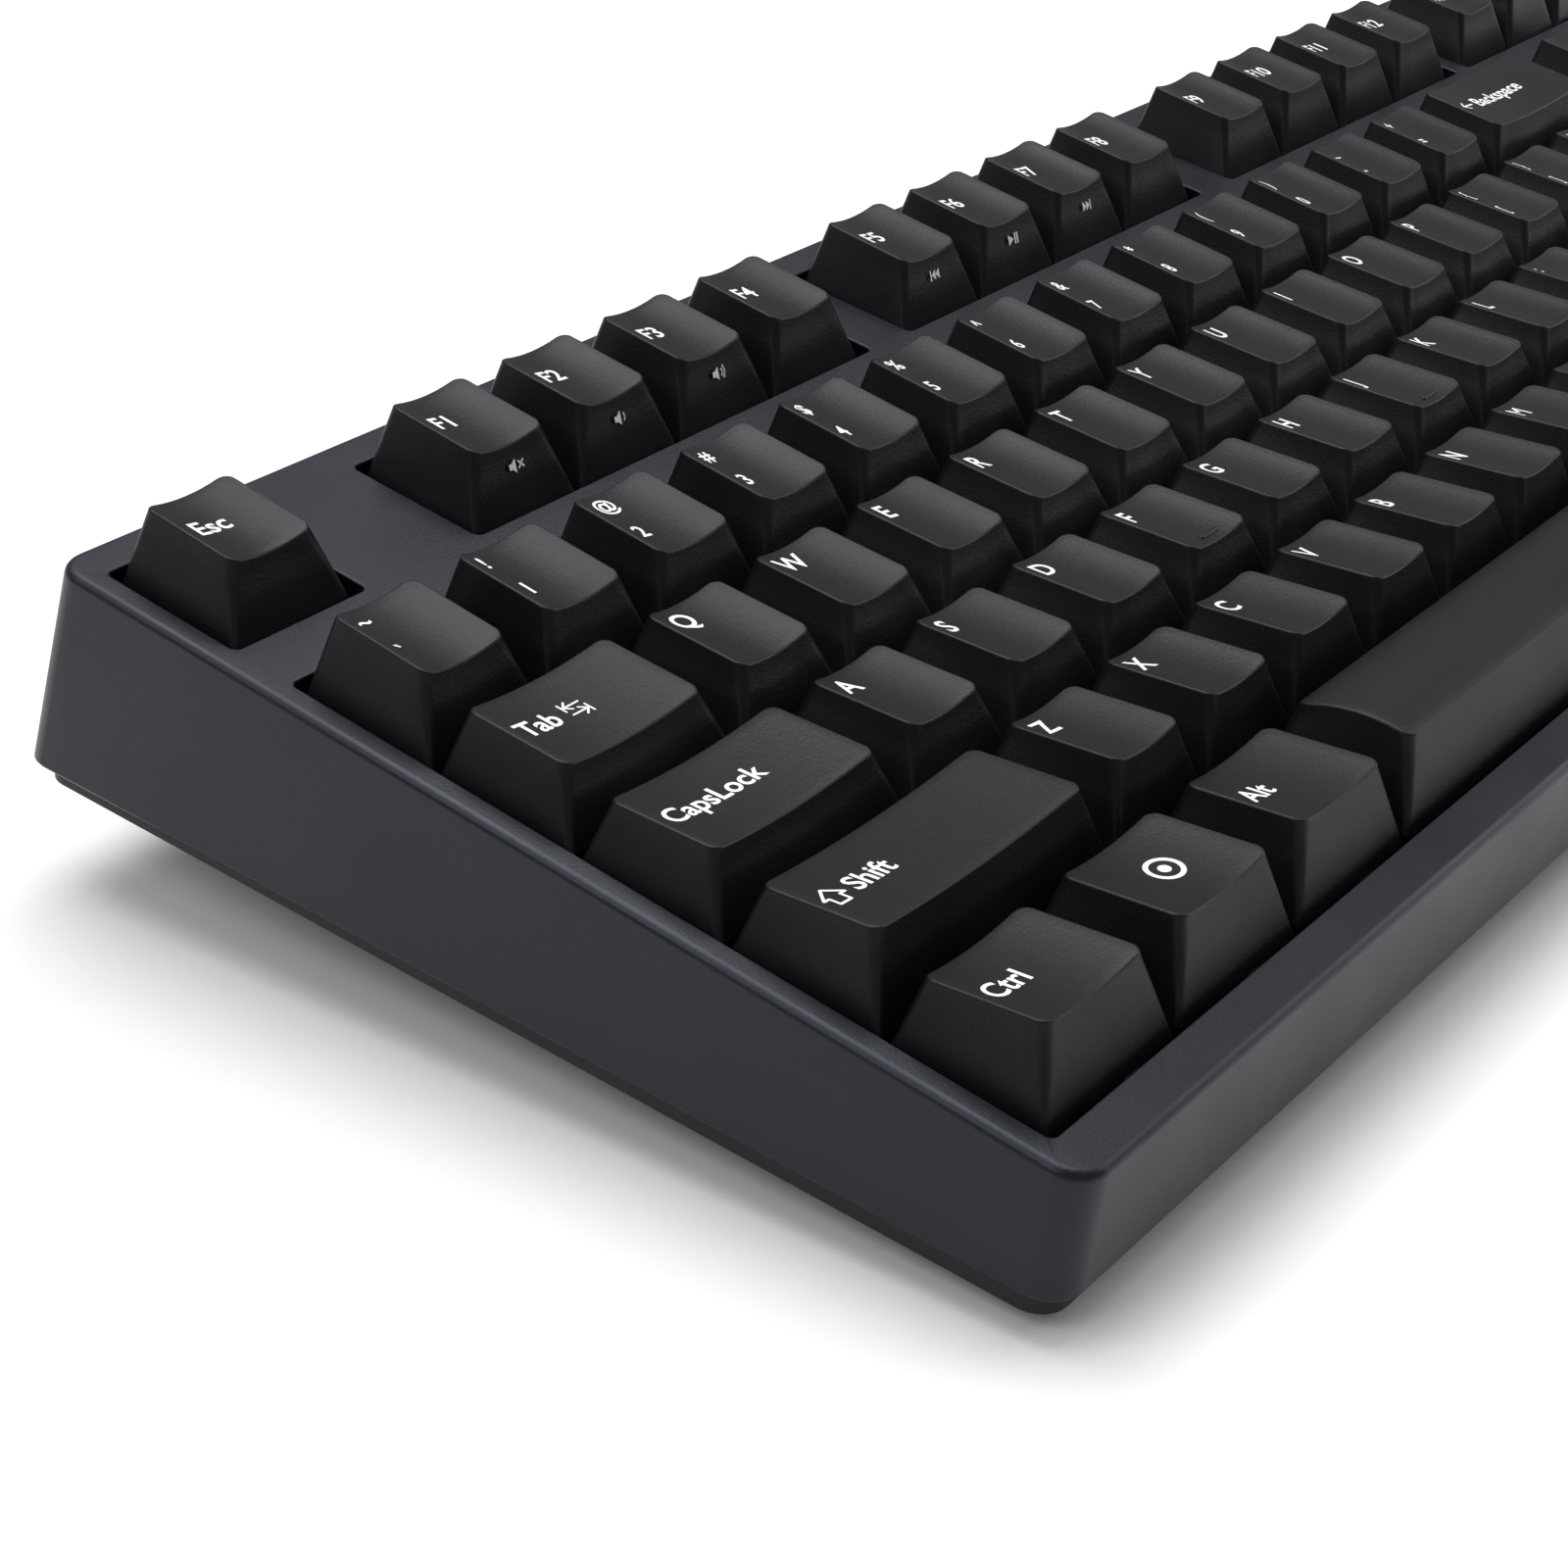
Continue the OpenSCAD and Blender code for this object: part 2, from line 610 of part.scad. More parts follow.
// caps with the sliders they are pressed onto
module key_set(keys) {
  deck() for (k = keys) translate([key_u(k), key_v(k), 0]) {
    cap(k);
    slider();
    if (stem_offset(k) > 0)
      for (side = [-1, 1]) translate([side * stem_offset(k), 0, 0]) stabilizer_stem();
  }
}

module key_escape() {
  color(cap_color) key_set([[0, 5, 1]]);
}

module key_f1() {
  color(cap_color) key_set([[2, 5, 1]]);
}

module key_f2() {
  color(cap_color) key_set([[3, 5, 1]]);
}

module key_f3() {
  color(cap_color) key_set([[4, 5, 1]]);
}

module key_f4() {
  color(cap_color) key_set([[5, 5, 1]]);
}

module key_grave() {
  color(cap_color) key_set([[0, 4, 1]]);
}

module key_1() {
  color(cap_color) key_set([[1, 4, 1]]);
}

module key_2() {
  color(cap_color) key_set([[2, 4, 1]]);
}

module key_3() {
  color(cap_color) key_set([[3, 4, 1]]);
}

module key_4() {
  color(cap_color) key_set([[4, 4, 1]]);
}

module key_5() {
  color(cap_color) key_set([[5, 4, 1]]);
}

module key_backspace() {
  color(cap_color) key_set([[13, 4, 2]]);
}

module key_tab() {
  color(cap_color) key_set([[0, 3, 1.5]]);
}

module key_q() {
  color(cap_color) key_set([[1.5, 3, 1]]);
}

module key_w() {
  color(cap_color) key_set([[2.5, 3, 1]]);
}

module key_e() {
  color(cap_color) key_set([[3.5, 3, 1]]);
}

module key_r() {
  color(cap_color) key_set([[4.5, 3, 1]]);
}

module key_t() {
  color(cap_color) key_set([[5.5, 3, 1]]);
}

module key_caps_lock() {
  color(cap_color) key_set([[0, 2, 1.75]]);
}

module key_a() {
  color(cap_color) key_set([[1.75, 2, 1]]);
}

module key_s() {
  color(cap_color) key_set([[2.75, 2, 1]]);
}

module key_d() {
  color(cap_color) key_set([[3.75, 2, 1]]);
}

module key_f() {
  color(cap_color) key_set([[4.75, 2, 1]]);
}

module key_g() {
  color(cap_color) key_set([[5.75, 2, 1]]);
}

module key_enter() {
  color(cap_color) key_set([[12.75, 2, 2.25]]);
}

module key_left_shift() {
  color(cap_color) key_set([[0, 1, 2.25]]);
}

module key_z() {
  color(cap_color) key_set([[2.25, 1, 1]]);
}

module key_x() {
  color(cap_color) key_set([[3.25, 1, 1]]);
}

module key_c() {
  color(cap_color) key_set([[4.25, 1, 1]]);
}

module key_v() {
  color(cap_color) key_set([[5.25, 1, 1]]);
}

module key_b() {
  color(cap_color) key_set([[6.25, 1, 1]]);
}

module key_right_shift() {
  color(cap_color) key_set([[12.25, 1, 2.75]]);
}

module key_left_ctrl() {
  color(cap_color) key_set([[0, 0, 1.25]]);
}

module key_left_menu_mark() {
  color(cap_color) key_set([[1.25, 0, 1.25]]);
}

module key_left_alt() {
  color(cap_color) key_set([[2.5, 0, 1.25]]);
}

module key_space() {
  color(cap_color) key_set([[3.75, 0, 6.25]]);
}

module keys_f5_to_f12() {
  color(cap_color) key_set([
    [6.5, 5, 1], [7.5, 5, 1], [8.5, 5, 1], [9.5, 5, 1], [11, 5, 1], [12, 5, 1], [13, 5, 1],
    [14, 5, 1]
  ]);
}

module keys_6_to_equals() {
  color(cap_color) key_set([
    [6, 4, 1], [7, 4, 1], [8, 4, 1], [9, 4, 1], [10, 4, 1], [11, 4, 1], [12, 4, 1]
  ]);
}

module keys_y_to_backslash() {
  color(cap_color) key_set([
    [6.5, 3, 1], [7.5, 3, 1], [8.5, 3, 1], [9.5, 3, 1], [10.5, 3, 1], [11.5, 3, 1], [12.5, 3, 1],
    [13.5, 3, 1.5]
  ]);
}

module keys_h_to_quote() {
  color(cap_color) key_set([
    [6.75, 2, 1], [7.75, 2, 1], [8.75, 2, 1], [9.75, 2, 1], [10.75, 2, 1], [11.75, 2, 1]
  ]);
}

module keys_n_to_slash() {
  color(cap_color) key_set([
    [7.25, 1, 1], [8.25, 1, 1], [9.25, 1, 1], [10.25, 1, 1], [11.25, 1, 1]
  ]);
}

module keys_right_modifiers() {
  color(cap_color) key_set([
    [10, 0, 1.25], [11.25, 0, 1.25], [12.5, 0, 1.25], [13.75, 0, 1.25]
  ]);
}

module keys_navigation() {
  color(cap_color) key_set([
    [15.25, 5, 1], [16.25, 5, 1], [17.25, 5, 1], [15.25, 4, 1], [16.25, 4, 1], [17.25, 4, 1],
    [15.25, 3, 1], [16.25, 3, 1], [17.25, 3, 1]
  ]);
}

module keys_arrows() {
  color(cap_color) key_set([
    [16.25, 1, 1], [15.25, 0, 1], [16.25, 0, 1], [17.25, 0, 1]
  ]);
}

top_case();
bottom_case();
switch_plate();
circuit_board();
lower_housings();
upper_housings();
switch_springs();
switch_contacts();
stabilizer_housings();
stabilizer_wires();
controller_chip();
usb_socket();
case_screws();
rubber_feet();
flip_foot_left();
flip_foot_right();
key_escape();
key_f1();
key_f2();
key_f3();
key_f4();
key_grave();
key_1();
key_2();
key_3();
key_4();
key_5();
key_backspace();
key_tab();
key_q();
key_w();
key_e();
key_r();
key_t();
key_caps_lock();
key_a();
key_s();
key_d();
key_f();
key_g();
key_enter();
key_left_shift();
key_z();
key_x();
key_c();
key_v();
key_b();
key_right_shift();
key_left_ctrl();
key_left_menu_mark();
key_left_alt();
key_space();
keys_f5_to_f12();
keys_6_to_equals();
keys_y_to_backslash();
keys_h_to_quote();
keys_n_to_slash();
keys_right_modifiers();
keys_navigation();
keys_arrows();
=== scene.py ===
import json
import math

import bmesh
import bpy
from mathutils import Matrix, Vector


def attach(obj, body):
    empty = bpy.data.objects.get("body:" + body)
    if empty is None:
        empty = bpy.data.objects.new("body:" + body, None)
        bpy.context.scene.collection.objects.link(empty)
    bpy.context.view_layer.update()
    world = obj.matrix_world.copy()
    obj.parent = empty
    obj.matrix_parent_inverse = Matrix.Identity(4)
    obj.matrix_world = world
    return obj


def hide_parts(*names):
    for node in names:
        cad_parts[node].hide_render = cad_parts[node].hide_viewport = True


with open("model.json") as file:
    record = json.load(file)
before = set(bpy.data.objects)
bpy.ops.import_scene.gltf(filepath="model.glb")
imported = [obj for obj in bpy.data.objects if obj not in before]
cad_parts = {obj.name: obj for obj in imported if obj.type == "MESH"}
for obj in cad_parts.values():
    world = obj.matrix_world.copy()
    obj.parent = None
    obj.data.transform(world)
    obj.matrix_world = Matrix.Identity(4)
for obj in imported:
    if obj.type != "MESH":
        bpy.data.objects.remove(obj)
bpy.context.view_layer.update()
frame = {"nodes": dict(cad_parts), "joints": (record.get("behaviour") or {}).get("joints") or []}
nodes = frame["nodes"]
joints = {j["name"]: j for j in frame["joints"]}

# ---------------------------------------------------------------- the deck frame, read from the CAD
# u to the right, v to the rear and w square to the keys, in millimetres, w = 0 on the bezel
press = joints["key_escape_press"]["axis"]
TILT = math.atan2(-press[1], press[2])
TURN = Matrix.Rotation(TILT, 4, "X")
BACK = TURN.inverted()


def deck_box(name):
    """Lowest and highest corner of a CAD node, along the deck's axes."""
    pts = [BACK @ v.co for v in nodes[name].data.vertices]
    lo = Vector([min(p[i] for p in pts) for i in range(3)])
    hi = Vector([max(p[i] for p in pts) for i in range(3)])
    return lo, hi


ctrl_lo = deck_box("key_left_ctrl")[0]
esc_lo = deck_box("key_escape")[0]
case_hi = deck_box("top_case")[1]
nav_hi = deck_box("keys_navigation")[1]
# gap between a cap's skirt and the edge of its cell
SKIRT = 0.5
# width of the whole key field in key pitches
COLUMNS = 18.25
ORIGIN = Vector((ctrl_lo.x - SKIRT / 1000, ctrl_lo.y - SKIRT / 1000, case_hi.z))
DECK = TURN @ Matrix.Translation(ORIGIN) @ Matrix.Scale(0.001, 4)
U = (nav_hi.x - ctrl_lo.x + 2 * SKIRT / 1000) * 1000 / COLUMNS
ROW_F = (esc_lo.y - ctrl_lo.y) * 1000
FIELD_W = COLUMNS * U
FIELD_V = ROW_F + U

# keycaps: half depth and bottom edge of the skirt, heights of the top's front and rear edges by
# row (0 is the space bar's row, 5 the function row), the top's front and rear, how far it stands
# in from the cell at the sides, and how deep it is dished
SKIRT_V = 9.025
SKIRT_W = -1.8
CAP_FRONT = [8.3, 7.8, 6.35, 6.05, 7.3, 7.25]
CAP_REAR = [5.6, 5.3, 4.95, 5.8, 7.8, 7.75]
V0, V1 = -5.0, 8.7
TOP_IN = 3.4
TOP_FILLET = 0.32
DISH = 1.0
# inside of a cap: its ceiling, and the height where stems meet sliders
CEILING_W = 2.9
SLIDER_W = -1.42

# case: how far the walls lean out per depth, the outline at the bezel, the slope of the lower
# edge against the deck, and the height of that edge at v = 0
LEAN = 0.085
CASE_CORNER = 4.0
BODY = (-3.6, FIELD_W + 3.6, -6.2, FIELD_V + 5.8)
WEDGE = math.tan(math.radians(4.8))
LIP_W = -17.5 + 2.8 / math.cos(math.radians(4.8))
# the weight added to printed letters, as a share of their size
LEGEND_WEIGHT = 0.019


def row_v(row):
    """Front edge of a row of keys."""
    return ROW_F if row == 5 else row * U


# ---------------------------------------------------------------- materials
def material(name, base, rough, grain=0.0, grain_scale=4000.0, spread=0.12, metallic=0.0,
             rough_spread=0.06, specular=0.5, coat=0.0, tint=(1, 1, 1)):
    """A moulded or plated surface with fine grain and broad, faint changes of tone and gloss."""
    m = bpy.data.materials.new(name)
    m.use_nodes = True
    nt = m.node_tree
    n, link = nt.nodes, nt.links.new
    n.clear()
    out = n.new("ShaderNodeOutputMaterial")
    bsdf = n.new("ShaderNodeBsdfPrincipled")
    coord = n.new("ShaderNodeTexCoord")
    fine = n.new("ShaderNodeTexNoise")
    fine.inputs["Scale"].default_value = grain_scale
    fine.inputs["Detail"].default_value = 3.0
    fine.inputs["Roughness"].default_value = 0.6
    broad = n.new("ShaderNodeTexNoise")
    broad.inputs["Scale"].default_value = 55.0
    broad.inputs["Detail"].default_value = 5.0
    link(coord.outputs["Object"], fine.inputs["Vector"])
    link(coord.outputs["Object"], broad.inputs["Vector"])
    tone = n.new("ShaderNodeValToRGB")
    tone.color_ramp.elements[0].position = 0.3
    tone.color_ramp.elements[1].position = 0.72
    tone.color_ramp.elements[0].color = [c * (1 - spread) for c in base] + [1]
    tone.color_ramp.elements[1].color = [min(1, c * (1 + spread)) for c in base] + [1]
    mixed = n.new("ShaderNodeMix")
    mixed.data_type = "FLOAT"
    mixed.inputs["Factor"].default_value = 0.45
    link(fine.outputs["Fac"], mixed.inputs["A"])
    link(broad.outputs["Fac"], mixed.inputs["B"])
    link(mixed.outputs["Result"], tone.inputs["Fac"])
    link(tone.outputs["Color"], bsdf.inputs["Base Color"])
    band = n.new("ShaderNodeMapRange")
    band.inputs["From Min"].default_value = 0.25
    band.inputs["From Max"].default_value = 0.75
    band.inputs["To Min"].default_value = max(0.02, rough - rough_spread)
    band.inputs["To Max"].default_value = min(1.0, rough + rough_spread)
    link(broad.outputs["Fac"], band.inputs["Value"])
    link(band.outputs["Result"], bsdf.inputs["Roughness"])
    bsdf.inputs["Metallic"].default_value = metallic
    bsdf.inputs["Coat Weight"].default_value = coat
    bsdf.inputs["Specular IOR Level"].default_value = specular
    bsdf.inputs["Specular Tint"].default_value = list(tint) + [1]
    if grain > 0:
        bump = n.new("ShaderNodeBump")
        bump.inputs["Strength"].default_value = grain
        bump.inputs["Distance"].default_value = 0.00006
        link(fine.outputs["Fac"], bump.inputs["Height"])
        link(bump.outputs["Normal"], bsdf.inputs["Normal"])
    link(bsdf.outputs["BSDF"], out.inputs["Surface"])
    return m


CASE = material("case_grained_black", (0.0042, 0.0046, 0.0075), 0.38, 0.4, 2600, 0.14, specular=0.36,
                tint=(0.8, 0.84, 1))
BASE = material("base_grained_black", (0.006, 0.006, 0.0075), 0.5, 0.5, 2600, 0.16, specular=0.3)
CAP = material("cap_matte_black", (0.003, 0.003, 0.0034), 0.4, 0.5, 2300, 0.22, rough_spread=0.05,
               specular=0.27, tint=(0.92, 0.93, 1))
INK = material("legend_print", (0.82, 0.82, 0.8), 0.5, 0.15, 5000, 0.05)
PLATE = material("plate_black_paint", (0.018, 0.018, 0.02), 0.42, 0.3, 3500, 0.15, 0.2)
HOUSING = material("housing_black_nylon", (0.014, 0.014, 0.015), 0.5, 0.3, 3000, 0.2)
BOARD = material("board_green_mask", (0.012, 0.07, 0.03), 0.3, 0.2, 1500, 0.25, coat=0.3)
STEEL = material("steel_bright", (0.55, 0.55, 0.57), 0.28, 0.15, 6000, 0.08, 1.0)
SCREW = material("steel_dark_zinc", (0.16, 0.16, 0.17), 0.35, 0.2, 6000, 0.12, 1.0)
BRASS = material("brass_contact", (0.62, 0.45, 0.18), 0.3, 0.1, 6000, 0.1, 1.0)
CHIP = material("chip_black_resin", (0.02, 0.02, 0.02), 0.55, 0.4, 5000, 0.2)
RUBBER = material("rubber_black", (0.014, 0.014, 0.014), 0.8, 0.6, 2500, 0.25)
FLOOR = material("floor_pale", (0.9, 0.9, 0.9), 0.75, 0.05, 900, 0.01)


# ---------------------------------------------------------------- mesh helpers
def make(name, verts, faces, mat, angle=32.0, matrix=DECK, weld=0.0):
    """A smooth-shaded piece with sharp edges over the angle, from points in millimetres."""
    me = bpy.data.meshes.new(name)
    me.from_pydata([matrix @ Vector(v) for v in verts], [], faces)
    bm = bmesh.new()
    bm.from_mesh(me)
    if weld:
        bmesh.ops.remove_doubles(bm, verts=bm.verts, dist=weld)
        bmesh.ops.dissolve_degenerate(bm, edges=bm.edges, dist=weld * 0.5)
    bmesh.ops.recalc_face_normals(bm, faces=bm.faces)
    bm.to_mesh(me)
    bm.free()
    me.polygons.foreach_set("use_smooth", [True] * len(me.polygons))
    me.set_sharp_from_angle(angle=math.radians(angle))
    me.materials.append(mat)
    ob = bpy.data.objects.new(name, me)
    bpy.context.scene.collection.objects.link(ob)
    return ob


def rounded(a0, a1, b0, b1, r, seg, nu, nv):
    """Points of a rounded rectangle, counterclockwise, the same count for every size.

    Each corner has seg steps, the long way nu and the short way nv.
    """
    pts = []
    corners = [(a1 - r, b0 + r, -90), (a1 - r, b1 - r, 0),
               (a0 + r, b1 - r, 90), (a0 + r, b0 + r, 180)]
    for i, (cx, cy, start) in enumerate(corners):
        arc = [(cx + r * math.cos(math.radians(start + 90 * k / seg)),
                cy + r * math.sin(math.radians(start + 90 * k / seg))) for k in range(seg + 1)]
        pts += arc
        nx, ny, nstart = corners[(i + 1) % 4]
        to = (nx + r * math.cos(math.radians(nstart)), ny + r * math.sin(math.radians(nstart)))
        count = nv if i % 2 == 0 else nu
        for k in range(1, count):
            t = k / count
            pts.append((arc[-1][0] * (1 - t) + to[0] * t, arc[-1][1] * (1 - t) + to[1] * t))
    return pts


def bridge(faces, a, b, n):
    """Adds the faces between two rings of n points that start at a and b."""
    for i in range(n):
        j = (i + 1) % n
        faces.append((a + i, a + j, b + j, b + i))


# ---------------------------------------------------------------- keycaps
def top_height(width, row):
    """The height of a cap's top as a function of the place on it."""
    f, r = CAP_FRONT[row], CAP_REAR[row]
    half = width * U / 2 - TOP_IN + 0.35
    bend = (half * half + DISH * DISH) / (2 * DISH)

    def height(x, y):
        t = (y - V0) / (V1 - V0)
        if width >= 6:
            slope = math.atan2(r - f, V1 - V0)
            cy = 1.85 + (20 - 1.25) * math.sin(slope)
            cz = (f + r) / 2 - 0.4 - (20 - 1.25) * math.cos(slope)
            return cz + math.sqrt(max(0.0, 400 - (y - cy) ** 2))
        return f + (r - f) * t + bend - DISH - math.sqrt(max(0.0, bend * bend - min(abs(x), half) ** 2))
    return height


def cap_shape(width, row):
    """Points and faces of a hollow cap, from its inside out to the dished top."""
    hw = width * U / 2
    seg, nu, nv = 6, max(8, round(width * 7)), 6
    height = top_height(width, row)
    low = rounded(-hw + SKIRT, hw - SKIRT, -SKIRT_V, SKIRT_V, 0.8, seg, nu, nv)
    n = len(low)
    a, b0, b1 = hw - TOP_IN, V0, V1
    verts, faces, starts = [], [], []

    def add(points):
        starts.append(len(verts))
        verts.extend(points)

    inner = rounded(-hw + SKIRT + 1.4, hw - SKIRT - 1.4, -7.6, 7.7, 0.6, seg, nu, nv)
    roof = rounded(-hw + TOP_IN + 1.2, hw - TOP_IN - 1.2, -5.0, 7.3, 0.6, seg, nu, nv)
    add([(x, y, CEILING_W) for x, y in roof])
    add([(x, y, SKIRT_W) for x, y in inner])
    lip = rounded(-hw + SKIRT + 0.12, hw - SKIRT - 0.12, -8.9, 8.9, 0.7, seg, nu, nv)
    add([(x, y, SKIRT_W) for x, y in lip])
    add([(x, y, SKIRT_W + 0.12) for x, y in low])
    fillet = TOP_FILLET
    high = rounded(-a, a, b0, b1, 1.4, seg, nu, nv)
    for t in (0.35, 0.7):
        ring = []
        for (x0, y0), (x1, y1) in zip(low, high):
            z1 = height(x1, y1) - fillet
            rise = z1 - SKIRT_W - 0.12
            ring.append((x0 + (x1 - x0) * t, y0 + (y1 - y0) * t, SKIRT_W + 0.12 + rise * t))
        add(ring)
    for k in range(5):
        g = math.radians(90 * k / 4)
        d = fillet * (1 - math.cos(g))
        ring = rounded(-a + d, a - d, b0 + d, b1 - d, 1.4 - d * 0.7, seg, nu, nv)
        add([(x, y, height(x, y) - fillet + fillet * math.sin(g)) for x, y in ring])
    mid = (b0 + b1) / 2
    reach = max(0.0, a - (b1 - b0) / 2)
    last = rounded(-a + fillet, a - fillet, b0 + fillet, b1 - fillet, 1.4 - fillet * 0.7, seg, nu, nv)
    for k in range(1, 7):
        t = k / 6
        ring = []
        for x, y in last:
            sx = max(-reach, min(reach, x))
            px, py = x + (sx - x) * t, y + (mid - y) * t
            ring.append((px, py, height(px, py)))
        add(ring)
    for i in range(len(starts) - 1):
        bridge(faces, starts[i], starts[i + 1], n)
    faces.append(tuple(range(starts[0], starts[0] + n))[::-1])
    return verts, faces


def tube(x, rings):
    """A closed solid through rings (half u, half v, corner, w), round the line u = x."""
    verts, faces = [], []
    for a, b, r, w in rings:
        verts += [(x + px, py, w) for px, py in rounded(-a, a, -b, b, r, 5, 1, 1)]
    n = len(verts) // len(rings)
    for i in range(len(rings) - 1):
        bridge(faces, i * n, (i + 1) * n, n)
    faces.append(tuple(range(n))[::-1])
    faces.append(tuple(range(len(verts) - n, len(verts))))
    return verts, faces


def stem(x):
    """The round post under a cap."""
    return [tube(x, [(2.7, 2.7, 2.69, CEILING_W + 0.1), (2.7, 2.7, 2.69, SLIDER_W + 0.04)])]


def slider():
    """The hollow slider of a switch, open below for the spring."""
    foot, bore_end = -6.35, -2.72
    return [tube(0, [(2.9, 2.7, 0.4, SLIDER_W), (2.9, 2.7, 0.4, foot),
                     (2.4, 2.4, 2.39, foot), (2.4, 2.4, 2.39, bore_end)])]


def stabilizer_legs(x):
    """Two legs with room for the wire between them."""
    rings = [(0.6, 2.9, 0.2, SLIDER_W), (0.6, 2.9, 0.2, -8.4)]
    return [tube(x + side * 1.65, rings) for side in (-1, 1)]


def bump_bar(x0, x1, y, height):
    """A low rounded locating bar on the home keys."""
    verts, faces = [], []
    steps, around = 10, 8
    for i in range(steps + 1):
        t = i / steps
        swell = math.sqrt(max(0.02, 1 - (2 * t - 1) ** 8))
        x = x0 + (x1 - x0) * t
        for k in range(around + 1):
            g = math.pi * k / around
            py = y + 0.42 * swell * math.cos(g)
            verts.append((x, py, height(x, py) - 0.08 + 0.42 * swell * math.sin(g)))
    w = around + 1
    for i in range(steps):
        for k in range(around):
            faces.append((i * w + k, (i + 1) * w + k, (i + 1) * w + k + 1, i * w + k + 1))
        faces.append((i * w + around, (i + 1) * w + around, (i + 1) * w, i * w))
    faces.append(tuple(range(w)))
    faces.append(tuple(range(steps * w, steps * w + w))[::-1])
    return verts, faces


# ---------------------------------------------------------------- legends
GLYPHS = {}


def text_mesh(body, size):
    """Flat triangles of a word, its left edge and base line at 0, in millimetres."""
    key = (body, size)
    if key in GLYPHS:
        return GLYPHS[key]
    cu = bpy.data.curves.new("glyph", "FONT")
    cu.body = body
    cu.size = size
    cu.resolution_u = 4
    # the M folds over itself when it is thickened
    cu.offset = 0.0 if "M" in body else LEGEND_WEIGHT * size
    ob = bpy.data.objects.new("glyph", cu)
    bpy.context.scene.collection.objects.link(ob)
    dg = bpy.context.evaluated_depsgraph_get()
    me = bpy.data.meshes.new_from_object(ob.evaluated_get(dg))
    bpy.data.objects.remove(ob)
    bpy.data.curves.remove(cu)
    bm = bmesh.new()
    bm.from_mesh(me)
    bpy.data.meshes.remove(me)
    out = refine(bm)
    GLYPHS[key] = out
    return out


def refine(bm):
    """Points and triangles of a flat mesh, cut fine enough to follow a dished top."""
    bmesh.ops.remove_doubles(bm, verts=bm.verts, dist=1e-4)
    bmesh.ops.triangulate(bm, faces=bm.faces)
    for _ in range(3):
        long = [e for e in bm.edges if e.calc_length() > 0.9]
        if not long:
            break
        bmesh.ops.subdivide_edges(bm, edges=long, cuts=1)
        bmesh.ops.triangulate(bm, faces=bm.faces)
    bm.verts.ensure_lookup_table()
    verts = [(v.co.x, v.co.y) for v in bm.verts]
    faces = [tuple(v.index for v in f.verts) for f in bm.faces]
    bm.free()
    return verts, faces


def polygon_mesh(loops):
    """Flat triangles of several filled outlines."""
    key = json.dumps(loops)
    if key in GLYPHS:
        return GLYPHS[key]
    bm = bmesh.new()
    for loop in loops:
        bm.faces.new([bm.verts.new((x, y, 0)) for x, y in loop])
    out = refine(bm)
    GLYPHS[key] = out
    return out


def stroke(points, width):
    """Filled outlines of a line drawn with a round pen."""
    loops = []
    r = width / 2
    for (x0, y0), (x1, y1) in zip(points, points[1:]):
        g = math.atan2(y1 - y0, x1 - x0)
        loop = []
        for k in range(7):
            q = g + math.pi / 2 + math.pi * k / 6
            loop.append((x0 + r * math.cos(q), y0 + r * math.sin(q)))
        for k in range(7):
            q = g - math.pi / 2 + math.pi * k / 6
            loop.append((x1 + r * math.cos(q), y1 + r * math.sin(q)))
        loops.append(loop)
    return loops


def circle_loop(r, n=20):
    """Outline of a disc round 0."""
    return [(r * math.cos(2 * math.pi * k / n), r * math.sin(2 * math.pi * k / n))
            for k in range(n)]


def arrow(dx, dy, size=1.0):
    """A straight arrow of that direction, centred on 0."""
    pts = [(-1.3, 0), (1.2, 0)]
    head = [(0.35, 0.8), (1.25, 0), (0.35, -0.8)]
    g = math.atan2(dy, dx)

    def turn(p):
        return (size * (p[0] * math.cos(g) - p[1] * math.sin(g)),
                size * (p[0] * math.sin(g) + p[1] * math.cos(g)))

    return (stroke([turn(p) for p in pts], 0.28 * size)
            + stroke([turn(p) for p in head], 0.28 * size))


def shift_loops(s):
    """An open arrow that points up."""
    pts = [(0, 1.5), (1.5, 0), (0.75, 0), (0.75, -1.2),
           (-0.75, -1.2), (-0.75, 0), (-1.5, 0), (0, 1.5)]
    return stroke([(s * a, s * b) for a, b in pts], 0.3 * s)


def move(loops, x, y, s=1.0):
    """Outlines scaled by s and moved by x, y."""
    return [[(x + s * a, y + s * b) for a, b in loop] for loop in loops]


def tab_loops():
    """Two arrows, each against a bar."""
    return (move(arrow(-1, 0), 0, 0.75, 0.9) + stroke([(-1.35, 0.05), (-1.35, 1.45)], 0.26)
            + move(arrow(1, 0), 0, -0.75, 0.9) + stroke([(1.35, -0.05), (1.35, -1.45)], 0.26))


def mark_loops():
    """A plain ring with a dot, in place of a system maker's sign."""
    n, outer, inner = 28, 1.35, 1.0
    ring = []
    for k in range(n):
        a, b = 2 * math.pi * k / n, 2 * math.pi * (k + 1) / n
        ring.append([(r * math.cos(g), r * math.sin(g))
                     for r, g in ((outer, a), (outer, b), (inner, b), (inner, a))])
    return ring + [circle_loop(0.45)]


def menu_loops():
    """A sheet with three lines."""
    return (stroke([(-1.2, 1.4), (1.2, 1.4), (1.2, -1.4), (-1.2, -1.4), (-1.2, 1.4)], 0.24)
            + stroke([(-0.6, 0.6), (0.6, 0.6)], 0.22) + stroke([(-0.6, 0), (0.6, 0)], 0.22)
            + stroke([(-0.6, -0.6), (0.6, -0.6)], 0.22))


def enter_loops():
    """An arrow that turns down and back."""
    return (stroke([(1.4, 1.1), (1.4, -0.3), (-1.3, -0.3)], 0.26)
            + stroke([(-0.6, 0.35), (-1.35, -0.3), (-0.6, -0.95)], 0.26))


